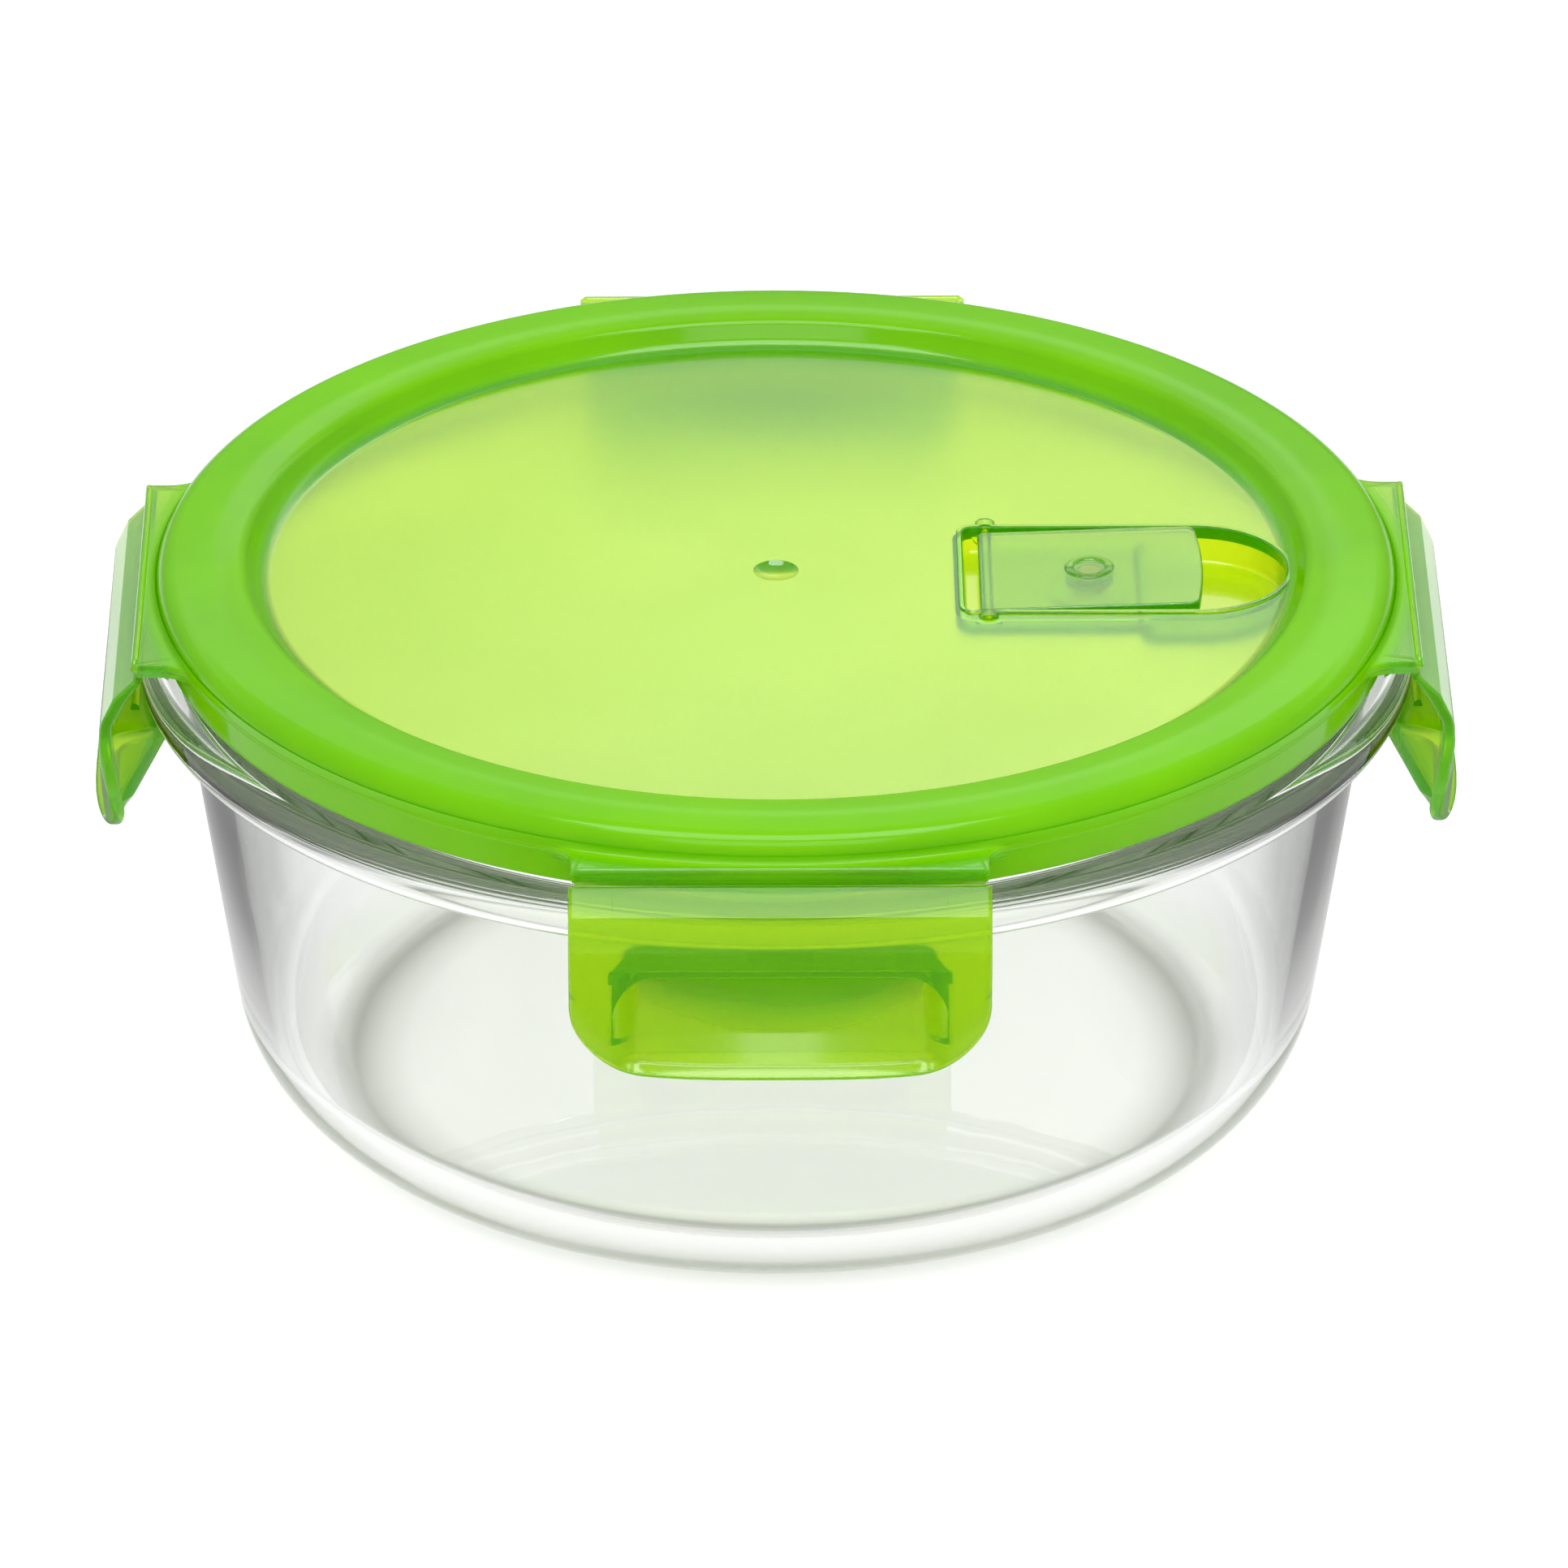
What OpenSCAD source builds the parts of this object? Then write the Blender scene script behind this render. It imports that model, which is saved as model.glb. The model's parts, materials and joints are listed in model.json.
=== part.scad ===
// Round glass storage dish with a press-on lid: four swinging latches and a steam vent flap.
// Millimetres. The origin is the centre of the dish's foot, +Z is up, the front latch faces -Y
// and the vent lies on the +X side of the lid.

/* [Bowl] */
// Height of the glass, from the foot to the top of its lip
bowl_h = 73.4; // [66:0.1:80]
// Radius of the flange that the latches grip
rim_r = 87.3; // [86.8:0.1:87.6]
// Thickness of the flange
rim_t = 4.8; // [4:0.1:5]
// Outer radius of the wall just under the flange
wall_r = 81.5; // [81:0.1:81.8]
// Thickness of the glass wall
wall_t = 4; // [3:0.1:5]
// Thickness of the glass floor
floor_t = 4.5; // [3:0.1:6]
// Flare of the wall, in degrees from upright
wall_flare = 8.2; // [5:0.1:10]
// Radius of the round between wall and foot
foot_round = 17; // [14:0.5:20]

/* [Lid] */
// Outer radius of the raised ring
ring_r = 84.7; // [84.5:0.1:84.9]
// Height of the ring above the centre panel
ring_rise = 3.8; // [3.4:0.1:4.2]
// Thickness of the lid moulding
lid_t = 2; // [1.8:0.1:2.2]
// Depth of the outer skirt below the panel's top
skirt_drop = 5.4; // [5:0.1:5.8]
// Distance from the centre to each tab's straight edge
tab_reach = 87; // [86.9:0.05:87.2]
// Length of each tab's straight edge
tab_w = 54.8; // [50:0.2:56]

/* [Latches] */
// Width of a latch
latch_w = 55.4; // [50:0.2:56]
// Drop of a latch below the tab's top
latch_drop = 27.8; // [26:0.1:29]
// Thickness of the latch moulding
latch_t = 1.8; // [1.6:0.1:2]
// Width of the finger scoop in a latch
scoop_w = 44; // [38:0.5:44]
// Radius of a latch's lower corners
latch_corner = 9.5; // [7:0.5:10]

/* [Vent] */
// Distance from the centre to the vent pocket's square end
pocket_x = 25.6; // [24:0.2:27]
// Length of the vent pocket
pocket_l = 44.2; // [42:0.2:44.4]
// Width of the vent pocket
pocket_w = 25; // [24:0.2:26]
// Length of the flap
flap_l = 30.6; // [28:0.2:31]
// Thickness of the flap
flap_t = 1.7; // [1.5:0.1:1.8]
// Radius of the flap's pivot pins
pin_r = 0.9; // [0.7:0.05:0.9]
// Radius of the steam hole
steam_r = 2.4; // [2:0.1:2.6]
// Distance from the pivot to the steam hole
steam_reach = 14; // [12:0.5:16]

/* [Hidden] */
$fn = 180;
green = "yellowgreen";
front = -90;
right = 0;
back = 90;
left = 180;

// Heights: the tabs' and the panel's top is the datum that the lid's other heights count from
top_z = bowl_h + 1.1;
panel_z = top_z + 0.25;
crest_z = top_z + ring_rise;
skirt_z = top_z - skirt_drop;

// Points along an arc about (cx, cy) from angle a0 to a1
function arc(cx, cy, r, a0, a1, steps = 8) =
    [for (i = [0:steps]) let (a = a0 + (a1 - a0) * i / steps) [cx + r * cos(a), cy + r * sin(a)]];

// ---------------------------------------------------------------- bowl
rim_round = rim_t / 2;
rim_z = top_z - 12.9 + rim_round;
rim_low = rim_z - rim_round;
function wall_at(z, inset) = wall_r - inset - (rim_low - z) * tan(wall_flare);
foot_x = wall_at(foot_round, 0) - foot_round / cos(wall_flare);
hollow_round = foot_round - wall_t;
hollow_x = wall_at(floor_t + hollow_round, wall_t) - hollow_round / cos(wall_flare);
lip_t = 3.4;
lip_x = wall_r + 0.2 - lip_t / 2;
lip_z = bowl_h - lip_t / 2;
fillet = 1.2;

module bowl_section() {
    polygon(concat(
        [[0, 0]],
        arc(foot_x, foot_round, foot_round, -90, -wall_flare, 16),
        arc(wall_at(rim_low - fillet, 0) + fillet, rim_low - fillet, fillet, 180, 90, 4),
        arc(rim_r - rim_round, rim_z, rim_round, -90, 90, 16),
        arc(lip_x + lip_t / 2 + fillet, rim_z + rim_round + fillet, fillet, -90, -180, 4),
        arc(lip_x, lip_z, lip_t / 2, 0, 180, 12),
        [[lip_x - lip_t / 2, rim_z + rim_round], [wall_at(rim_low, wall_t), rim_low - 2]],
        arc(hollow_x, floor_t + hollow_round, hollow_round, -wall_flare, -90, 16),
        [[0, floor_t]]));
}

module glass_bowl() {
    color("lightcyan", 0.4) rotate_extrude() bowl_section();
}

// ---------------------------------------------------------------- lid
ring_round = 3;
ring_in = 73.65;
ring_in_round = 2;
panel_r = 68.8;
panel_round = 3;
ramp = 55;
rib_in = 75;
rib_out = 76.6;
rib_z = top_z - 5.2;
skirt_in = ring_r - 2.1;
channel_z = crest_z - 1.9;
channel_round = 1.2;

module lid_section() {
    polygon(concat(
        [[0, panel_z - lid_t], [0, panel_z]],
        arc(panel_r, panel_z + panel_round, panel_round, -90, ramp - 90, 6),
        arc(ring_in, crest_z - 0.35 - ring_in_round, ring_in_round, ramp + 90, 92, 5),
        arc(ring_r - ring_round, crest_z - ring_round, ring_round, 90, 0, 10),
        arc(ring_r - 1.1, skirt_z + 0.6, 0.6, 0, -90, 4),
        arc(skirt_in + 0.6, skirt_z + 0.6, 0.6, -90, -180, 4),
        arc(skirt_in - channel_round, channel_z - channel_round, channel_round, 0, 90, 5),
        [[rib_out, channel_z]],
        arc(rib_out - 0.5, rib_z + 0.5, 0.5, 0, -90, 4),
        arc(rib_in + 0.5, rib_z + 0.5, 0.5, -90, -180, 4),
        [[rib_in, panel_z - 1], [rib_in - 3, panel_z - lid_t]]));
}

// Plan of one tab, pointing along +X, with hollow corners where it meets the ring
tab_fillet = 6;
tab_in = 75;
fillet_y = tab_w / 2 + tab_fillet;
fillet_x = sqrt(pow(ring_r + tab_fillet, 2) - pow(fillet_y, 2));
fillet_foot = ring_r / (ring_r + tab_fillet);

module tab_plan(reach) {
    translate([tab_in, -tab_w / 2]) square([reach - tab_in, tab_w]);
    for (side = [-1, 1]) difference() {
        polygon([[tab_in, 0], [fillet_x, 0], [fillet_x, side * fillet_y],
                 [fillet_x * fillet_foot, side * fillet_y * fillet_foot]]);
        translate([fillet_x, side * fillet_y]) circle(tab_fillet);
    }
}

bead_r = 0.55;
bead_x = tab_reach - bead_r;
tab_edge = tab_reach - 1.2;

module tab(a) {
    rotate(a) difference() {
        union() {
            translate([0, 0, top_z - lid_t]) linear_extrude(lid_t) tab_plan(tab_edge);
            translate([0, 0, top_z - bead_r]) linear_extrude(bead_r) tab_plan(bead_x);
            translate([bead_x, tab_w / 2, top_z - 0.1]) rotate([90, 0, 0])
                cylinder(h = tab_w, r = bead_r, $fn = 48);
            for (side = [-1, 1]) translate([bead_x, side * tab_w / 2, top_z - 0.1]) sphere(bead_r, $fn = 48);
        }
        translate([0, 0, top_z - 10]) cylinder(h = 20, r = ring_r - 1);
    }
}

// Vent pocket: a tray sunk in the panel, deeper at its round end, where a fingertip goes in
wall = 1.3;
tray_end_r = pocket_w / 2;
tray_end_x = pocket_x + pocket_l - tray_end_r;
shelf_z = panel_z - 3.5;
well_z = panel_z - 5;
well_x = 50.5;
pivot_x = pocket_x + 3.2;
pivot_z = panel_z - 1.35;
steam_x = pivot_x + steam_reach;
boss_r = 1.9;
gate_r = 2.2;

module tray_plan(grow) {
    translate([pocket_x - grow, -pocket_w / 2 - grow])
        square([tray_end_x - pocket_x + grow, pocket_w + 2 * grow]);
    translate([tray_end_x, 0]) circle(tray_end_r + grow);
}

module tray_outside() {
    translate([0, 0, shelf_z - wall]) linear_extrude(panel_z - lid_t / 2 - shelf_z + wall) tray_plan(wall);
    translate([0, 0, well_z - wall]) linear_extrude(shelf_z - well_z) intersection() {
        tray_plan(wall);
        translate([well_x - wall, -20]) square(40);
    }
    translate([0, 0, panel_z - lid_t / 2]) linear_extrude(lid_t / 2 + 0.3) tray_plan(0.8);
    translate([steam_x, 0, shelf_z - wall - 0.6]) cylinder(h = 1, r = 5.5);
    translate([pivot_x, 0, pivot_z]) rotate([90, 0, 0])
        cylinder(h = pocket_w + 4.4, r = boss_r, center = true);
}

module tray_inside() {
    translate([0, 0, shelf_z]) linear_extrude(10) tray_plan(0);
    translate([0, 0, well_z]) linear_extrude(10) intersection() {
        tray_plan(0);
        translate([well_x, -20]) square(40);
    }
    translate([steam_x, 0, shelf_z - 5]) cylinder(h = 6, r = steam_r);
    translate([pivot_x, 0, pivot_z]) rotate([90, 0, 0])
        cylinder(h = pocket_w + 2.2, r = pin_r + 0.05, center = true);
    translate([pivot_x - 0.75, -pocket_w / 2 - 1.1, pivot_z]) cube([1.5, pocket_w + 2.2, 10]);
}

module lid_shell() {
    color(green) difference() {
        union() {
            rotate_extrude() lid_section();
            for (a = [front, right, back, left]) tab(a);
            tray_outside();
        }
        tray_inside();
        translate([0, 0, panel_z - 0.4]) cylinder(h = 1, r = gate_r);
    }
}

module lid_gasket() {
    seal_z = bowl_h + 0.25;
    color("whitesmoke") rotate_extrude() polygon(concat(
        [[rib_out + 0.1, channel_z - 0.05]],
        arc(rib_out + 0.9, seal_z + 0.8, 0.8, 180, 270, 4),
        arc(skirt_in - 0.9, seal_z + 0.8, 0.8, 270, 360, 4),
        [[skirt_in - 0.1, channel_z - 1.3], [skirt_in - 1.3, channel_z - 0.05]]));
}

// ---------------------------------------------------------------- latches
// A latch is drawn on the +X side: u counts outwards from the tab's edge, v down from the tabs' top
function at(u, v) = [tab_reach + u, top_z - v];
knuckle_r = 0.5;
knuckle = at(-0.5, 2.9);
grip_v = 13.1;
mouth_v = 13.3;
scoop_v = 14.2;
scoop_back = -4.3;

// Sweeps a drawing of the u-v section along the tab's edge
module along_edge(width) {
    rotate([90, 0, 0]) linear_extrude(width, center = true) children();
}

// Sweeps an outline seen from in front of the latch, through the latch
module facing() {
    translate([tab_reach - 12, 0, 0]) rotate([90, 0, 90]) linear_extrude(30) children();
}

// Shoulder, from the knuckle down to the scoop's mouth
module shoulder_section() {
    polygon(concat(
        [at(-0.25, 2.47), at(2.3, 4.7)],
        [for (i = [0:6]) at(4.6 - 2.3 * pow(1 - i / 6, 2), 4.7 + 4.6 * i / 6)],
        [at(4.6, mouth_v + 0.1), at(4.6 - latch_t, mouth_v + 0.1)],
        [at(4.6 - latch_t, 9.6), at(4.1 - latch_t, 7.6), at(1.1, 6.1), at(-0.85, 3.25)]));
    translate(knuckle) circle(knuckle_r, $fn = 48);
}

// Plate beside the scoop, leaning in towards its lower edge
module side_section() {
    polygon([at(4.6, mouth_v - 0.5), at(4.2, 16.5), at(3.2, 20.6), at(2, 24.6), at(1.2, latch_drop),
             at(1.2 - latch_t, latch_drop), at(2 - latch_t, 24.6), at(3.2 - latch_t, 20.6),
             at(4.2 - latch_t, 16.5), at(4.6 - latch_t, mouth_v - 0.5)]);
}

// Walls of the finger scoop; their upper side is the catch that goes under the glass flange
module scoop_walls() {
    polygon([at(3, grip_v), at(scoop_back + 0.4, grip_v), at(scoop_back, grip_v + 0.4),
             at(scoop_back, 14.9), at(0.4, 24), at(1.6, 25.9), at(3.4, 27.3), at(5, latch_drop),
             at(5.4, latch_drop), at(4.6, grip_v)]);
}

module scoop_hollow() {
    polygon([at(12, 13), at(4.6, mouth_v), at(scoop_back + 2.2, scoop_v), at(scoop_back + 1.9, 14.9),
             at(2.3, 23.4), at(3.5, 25.2), at(5.2, 26.6), at(8, latch_drop - 0.5),
             at(12, latch_drop - 0.5)]);
}

// Front view of the scoop's mouth, with round upper corners
mouth_round = 4.5;

module mouth() {
    half = scoop_w / 2;
    low = top_z - latch_drop - 1;
    high = top_z - mouth_v;
    translate([-half, low]) square([scoop_w, high - mouth_round - low]);
    translate([mouth_round - half, low]) square([scoop_w - 2 * mouth_round, high + 1 - low]);
    for (side = [-1, 1]) translate([side * (half - mouth_round), high - mouth_round]) circle(mouth_round);
}

module latch_front_view() {
    half = latch_w / 2;
    low = top_z - latch_drop;
    translate([-half, low + latch_corner]) square([latch_w, latch_drop]);
    translate([latch_corner - half, low]) square([latch_w - 2 * latch_corner, latch_drop]);
    for (side = [-1, 1]) translate([side * (half - latch_corner), low + latch_corner]) circle(latch_corner);
}

// The pull lip bulges outwards in plan: a slice of a large ring
lip_plan_r = 90;
lip_span = 14.5;

module pull_lip() {
    translate([tab_reach + 6.5 - lip_plan_r, 0, 0]) rotate(-lip_span)
        rotate_extrude(angle = 2 * lip_span, $fn = 360) translate([lip_plan_r - 6.5 - tab_reach, 0])
            polygon([at(1.7, 23), at(2.3, 23.4), at(3.5, 25.2), at(5.2, 26.6), at(6.1, 27), at(6.5, 27.2),
                     at(6.4, latch_drop), at(4.4, latch_drop), at(2.2, 26.4)]);
}

// Two short ribs that bear on the round edge of the flange
module grip_ribs() {
    for (side = [-1, 1]) translate([0, side * 9.7, 0])
        along_edge(10.8) polygon([at(-0.4, grip_v + 0.3), at(-0.35, 12.45), at(0.2, 12.1), at(0.5, 12.1),
                                  at(0.9, grip_v + 0.3)]);
}

module latch(a) {
    color(green) rotate(a) {
        difference() {
            intersection() {
                union() {
                    along_edge(latch_w) shoulder_section();
                    for (side = [-1, 1]) translate([0, side * (latch_w + scoop_w) / 4, 0])
                        along_edge((latch_w - scoop_w) / 2) side_section();
                    along_edge(scoop_w + 2 * latch_t) scoop_walls();
                }
                facing() latch_front_view();
            }
            intersection() {
                along_edge(scoop_w + 1) scoop_hollow();
                facing() mouth();
            }
        }
        intersection() {
            pull_lip();
            facing() latch_front_view();
        }
        grip_ribs();
    }
}

// Thin web between the tab's underside and the latch's knuckle
module film_hinge(a) {
    color(green) rotate(a) along_edge(tab_w - 1)
        polygon([at(-1.55, 2), at(-1.15, 2), at(-1.15, 3.1), at(-1.55, 3.1)]);
}

// ---------------------------------------------------------------- vent
flap_w = pocket_w - 1.4;
flap_lift = 2;
flap_tail = 1.1;
flap_top = 1.2;
seat_r = 3.2;
stem_r = 1.5;
end_bow = 80;

// The flap and its plug are drawn about the pivot, then tipped up a little at the free end
module about_pivot() {
    translate([pivot_x, 0, pivot_z]) rotate([0, -flap_lift, 0]) children();
}

module vent_flap() {
    bow_x = flap_l - flap_tail - end_bow;
    color(green) about_pivot() difference() {
        union() {
            intersection() {
                translate([-flap_tail, -flap_w / 2, flap_top - flap_t]) cube([flap_l, flap_w, flap_t]);
                translate([bow_x, 0, -5]) cylinder(h = 10, r = end_bow, $fn = 360);
            }
            rotate([90, 0, 0]) cylinder(h = pocket_w + 1.8, r = pin_r, center = true, $fn = 48);
            translate([steam_reach, 0, flap_top - flap_t - 0.9]) cylinder(h = 1.5, r = seat_r);
        }
        translate([steam_reach, 0, -3]) cylinder(h = 3 + flap_top - 0.6, r = stem_r);
    }
}

module vent_plug() {
    disc_z = flap_top - flap_t - 0.9;
    nose_z = shelf_z - pivot_z - 1.4;
    color("whitesmoke") about_pivot() translate([steam_reach, 0, 0]) {
        translate([0, 0, disc_z]) cylinder(h = flap_top - 0.6 - disc_z, r = stem_r);
        translate([0, 0, disc_z - 0.6]) cylinder(h = 0.6, r = seat_r);
        translate([0, 0, nose_z]) cylinder(h = disc_z - nose_z, r1 = 1.5, r2 = 1.9);
    }
}

glass_bowl();
lid_shell();
lid_gasket();
latch(front);  // latch_front
latch(right);  // latch_right
latch(back);  // latch_back
latch(left);  // latch_left
film_hinge(front);  // film_hinge_front
film_hinge(right);  // film_hinge_right
film_hinge(back);  // film_hinge_back
film_hinge(left);  // film_hinge_left
vent_flap();
vent_plug();
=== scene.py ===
import json
import math
import bmesh
import bpy
from mathutils import Matrix, Vector


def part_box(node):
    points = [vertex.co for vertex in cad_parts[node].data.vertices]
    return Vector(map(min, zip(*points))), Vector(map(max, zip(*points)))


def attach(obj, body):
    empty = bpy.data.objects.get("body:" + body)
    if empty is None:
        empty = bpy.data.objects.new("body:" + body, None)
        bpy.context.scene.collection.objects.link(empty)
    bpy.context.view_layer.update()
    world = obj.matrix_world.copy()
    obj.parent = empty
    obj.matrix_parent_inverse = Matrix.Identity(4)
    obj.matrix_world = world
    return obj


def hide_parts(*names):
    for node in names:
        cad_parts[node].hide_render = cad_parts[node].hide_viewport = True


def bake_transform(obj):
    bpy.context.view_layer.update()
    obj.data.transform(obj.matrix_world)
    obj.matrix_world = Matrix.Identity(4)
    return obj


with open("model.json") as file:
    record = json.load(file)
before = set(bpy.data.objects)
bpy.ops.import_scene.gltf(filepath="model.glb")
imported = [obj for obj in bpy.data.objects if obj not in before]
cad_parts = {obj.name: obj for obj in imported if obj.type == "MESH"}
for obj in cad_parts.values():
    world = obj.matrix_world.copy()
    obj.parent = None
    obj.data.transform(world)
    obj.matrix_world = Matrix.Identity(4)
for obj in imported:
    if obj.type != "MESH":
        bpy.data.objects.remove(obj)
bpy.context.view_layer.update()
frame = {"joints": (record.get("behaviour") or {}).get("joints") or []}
scene = bpy.context.scene

# ---------------------------------------------------------------- sizes, in millimetres
MM = 0.001
SIDES = {"front": -90, "right": 0, "back": 90, "left": 180}


def high(node):
    """Highest corner of a CAD node's box, in millimetres."""
    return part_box(node)[1] / MM


def hinge(name):
    """Place of a joint of the frame, in millimetres."""
    joint = next(j for j in frame["joints"] if j["name"] == name)
    return Vector(joint["pos_m"]) / MM


# Heights. Everything on the lid counts from the tabs' flat top, which is 2.9 above the latch hinges
HINGE_DROP = 2.9
BOWL_H = high("glass_bowl").z
RIM_R = high("glass_bowl").x
CREST_Z = high("lid_shell").z
TOP_Z = hinge("latch_right_hinge").z + HINGE_DROP
PANEL_Z = TOP_Z + 0.25
SKIRT_Z = TOP_Z - 5.4
LID_T = 2
TAB_REACH = high("lid_shell").x
TAB_HALF = 27.4
RING_R = TAB_REACH - 2.3
PIVOT = hinge("vent_hinge")

# ---------------------------------------------------------------- outlines


def rounded(corners, steps):
    """Open line through corners (x, y) or (x, y, radius), with an arc at each corner that has a radius."""
    line = []
    for i, corner in enumerate(corners):
        here = Vector(corner[:2])
        radius = corner[2] if len(corner) > 2 else 0
        if not radius:
            line.append(here)
            continue
        back = (Vector(corners[i - 1][:2]) - here).normalized()
        ahead = (Vector(corners[i + 1][:2]) - here).normalized()
        half = back.angle(ahead) / 2
        centre = here + (back + ahead).normalized() * radius / math.sin(half)
        start = here + back * radius / math.tan(half) - centre
        end = here + ahead * radius / math.tan(half) - centre
        turn = math.pi - 2 * half
        for k in range(steps + 1):
            a, b = (1 - k / steps) * turn, k / steps * turn
            line.append(centre + (start * math.sin(a) + end * math.sin(b)) / math.sin(turn))
    return line


def arc(cx, cy, radius, first, last, steps):
    """Points on an arc; angles in degrees."""
    turns = [math.radians(first + (last - first) * k / steps) for k in range(steps + 1)]
    return [Vector((cx + radius * math.cos(a), cy + radius * math.sin(a))) for a in turns]


def smooth(x):
    """0 below 0, 1 above 1, with a soft start and end."""
    x = min(max(x, 0), 1)
    return x * x * (3 - 2 * x)


def mix(a, b, share):
    """The number that lies this share of the way from a to b."""
    return a + (b - a) * share


# ---------------------------------------------------------------- meshes


def new_piece(name, verts, faces, place=None):
    """A mesh object from points in millimetres, with stray doubles merged and faces turned outwards."""
    mesh = bpy.data.meshes.new(name)
    bm = bmesh.new()
    made = [bm.verts.new(Vector(v) * MM) for v in verts]
    for face in faces:
        bm.faces.new([made[i] for i in face])
    bmesh.ops.remove_doubles(bm, verts=bm.verts, dist=1e-6)
    bmesh.ops.dissolve_degenerate(bm, edges=bm.edges, dist=1e-6)
    bmesh.ops.recalc_face_normals(bm, faces=bm.faces)
    if place is not None:
        bm.transform(place)
    bm.to_mesh(mesh)
    bm.free()
    piece = bpy.data.objects.new(name, mesh)
    scene.collection.objects.link(piece)
    return piece


def loft(name, loops, closed=True, caps=False, place=None):
    """Skin over loops of equal length. closed joins the last to the first; caps fills the first and last."""
    n = len(loops[0])
    verts = [v for loop in loops for v in loop]
    faces = []
    for j in range(len(loops) if closed else len(loops) - 1):
        a, b = j * n, (j + 1) % len(loops) * n
        faces += [(a + i, a + (i + 1) % n, b + (i + 1) % n, b + i) for i in range(n)]
    if caps:
        faces += [tuple(range(n)), tuple(range(len(verts) - n, len(verts)))]
    return new_piece(name, verts, faces, place)


def revolve(name, outline, steps):
    """Solid of revolution from points (radius, z), closed where the outline starts and ends on the axis."""
    loops = []
    for k in range(steps):
        a = 2 * math.pi * k / steps
        loops.append([(p[0] * math.cos(a), p[0] * math.sin(a), p[1]) for p in outline])
    return loft(name, loops)


def combine(piece, others, how):
    """Boolean of piece with a list of helper objects, applied; the helpers are removed."""
    for other in others:
        cut = piece.modifiers.new("combine", "BOOLEAN")
        cut.operation = how
        cut.solver = "EXACT"
        cut.object = other
        apply_modifiers(piece)
        bpy.data.objects.remove(other)


def apply_modifiers(piece):
    """Keeps the mesh that the modifiers make and drops the modifiers."""
    seen = piece.evaluated_get(bpy.context.evaluated_depsgraph_get())
    mesh = bpy.data.meshes.new_from_object(seen)
    piece.modifiers.clear()
    piece.data = mesh


def finish_mesh(piece, finish, angle):
    """Smooth shading, led by the larger faces, with crisp edges where faces meet at more than the angle."""
    piece.data.shade_smooth()
    piece.data.set_sharp_from_angle(angle=math.radians(angle))
    weighted = piece.modifiers.new("weighted", "WEIGHTED_NORMAL")
    weighted.keep_sharp = True
    weighted.weight = 90
    piece.data.materials.clear()
    piece.data.materials.append(finish)


def hand_over(piece, body, slot, *nodes):
    """Says which body a piece moves with and hides the CAD nodes it stands for; slot is not used."""
    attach(piece, body)
    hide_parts(*nodes)


# ---------------------------------------------------------------- materials


def material(name):
    """An empty node material: returns it with its node maker, its link maker and its output node."""
    made = bpy.data.materials.new(name)
    made.use_nodes = True
    tree = made.node_tree
    tree.nodes.clear()
    output = tree.nodes.new("ShaderNodeOutputMaterial")
    return made, tree.nodes.new, tree.links.new, output


def noise(new, link, scale, detail, stretch=(1, 1, 1)):
    """Noise over the object's own coordinates; scale counts per metre."""
    coords = new("ShaderNodeTexCoord")
    mapping = new("ShaderNodeMapping")
    mapping.inputs["Scale"].default_value = stretch
    texture = new("ShaderNodeTexNoise")
    texture.inputs["Scale"].default_value = scale
    texture.inputs["Detail"].default_value = detail
    link(coords.outputs["Object"], mapping.inputs["Vector"])
    link(mapping.outputs["Vector"], texture.inputs["Vector"])
    return texture.outputs["Fac"]


def between(new, link, source, low, top, first=0.3, last=0.7):
    """Maps a number that runs from first to last onto low to top. The default stretch suits noise."""
    spread = new("ShaderNodeMapRange")
    spread.inputs["From Min"].default_value = first
    spread.inputs["From Max"].default_value = last
    spread.inputs["To Min"].default_value = low
    spread.inputs["To Max"].default_value = top
    link(source, spread.inputs["Value"])
    return spread.outputs["Result"]


def tint(new, link, source, first, second):
    """Blends two colours by a noise pattern."""
    ramp = new("ShaderNodeValToRGB")
    ramp.color_ramp.elements[0].position = 0.3
    ramp.color_ramp.elements[0].color = (*first, 1)
    ramp.color_ramp.elements[1].position = 0.7
    ramp.color_ramp.elements[1].color = (*second, 1)
    link(source, ramp.inputs["Fac"])
    return ramp.outputs["Color"]


def bumps(new, link, source, height):
    """Normal from a pattern whose full height is given in metres."""
    bump = new("ShaderNodeBump")
    bump.inputs["Strength"].default_value = 1
    bump.inputs["Distance"].default_value = height
    link(source, bump.inputs["Height"])
    return bump.outputs["Normal"]


def grey_ramp(new, link, source, stops):
    """Grey value from a number. stops are (number, grey)."""
    ramp = new("ShaderNodeValToRGB")
    while len(ramp.color_ramp.elements) < len(stops):
        ramp.color_ramp.elements.new(0.5)
    for element, (where, value) in zip(ramp.color_ramp.elements, stops):
        element.position = where
        element.color = (value, value, value, 1)
    link(source, ramp.inputs["Fac"])
    return ramp.outputs["Color"]


def distance(new, link, source, centre, reach):
    """Distance from a centre, counted in the reaches along x, y and z; a reach of 0 leaves that axis out."""
    scale = [1 / r if r else 0 for r in reach]
    shifted = new("ShaderNodeMapping")
    shifted.inputs["Scale"].default_value = scale
    shifted.inputs["Location"].default_value = [-c * k for c, k in zip(centre, scale)]
    link(source, shifted.inputs["Vector"])
    length = new("ShaderNodeVectorMath")
    length.operation = "LENGTH"
    link(shifted.outputs["Vector"], length.inputs[0])
    return length.outputs["Value"]


def combined(new, link, how, *values):
    """Math node over numbers and sockets."""
    node = new("ShaderNodeMath")
    node.operation = how
    for socket, value in zip(node.inputs, values):
        if isinstance(value, (int, float)):
            socket.default_value = value
        else:
            link(value, socket)
    return node.outputs["Value"]


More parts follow.
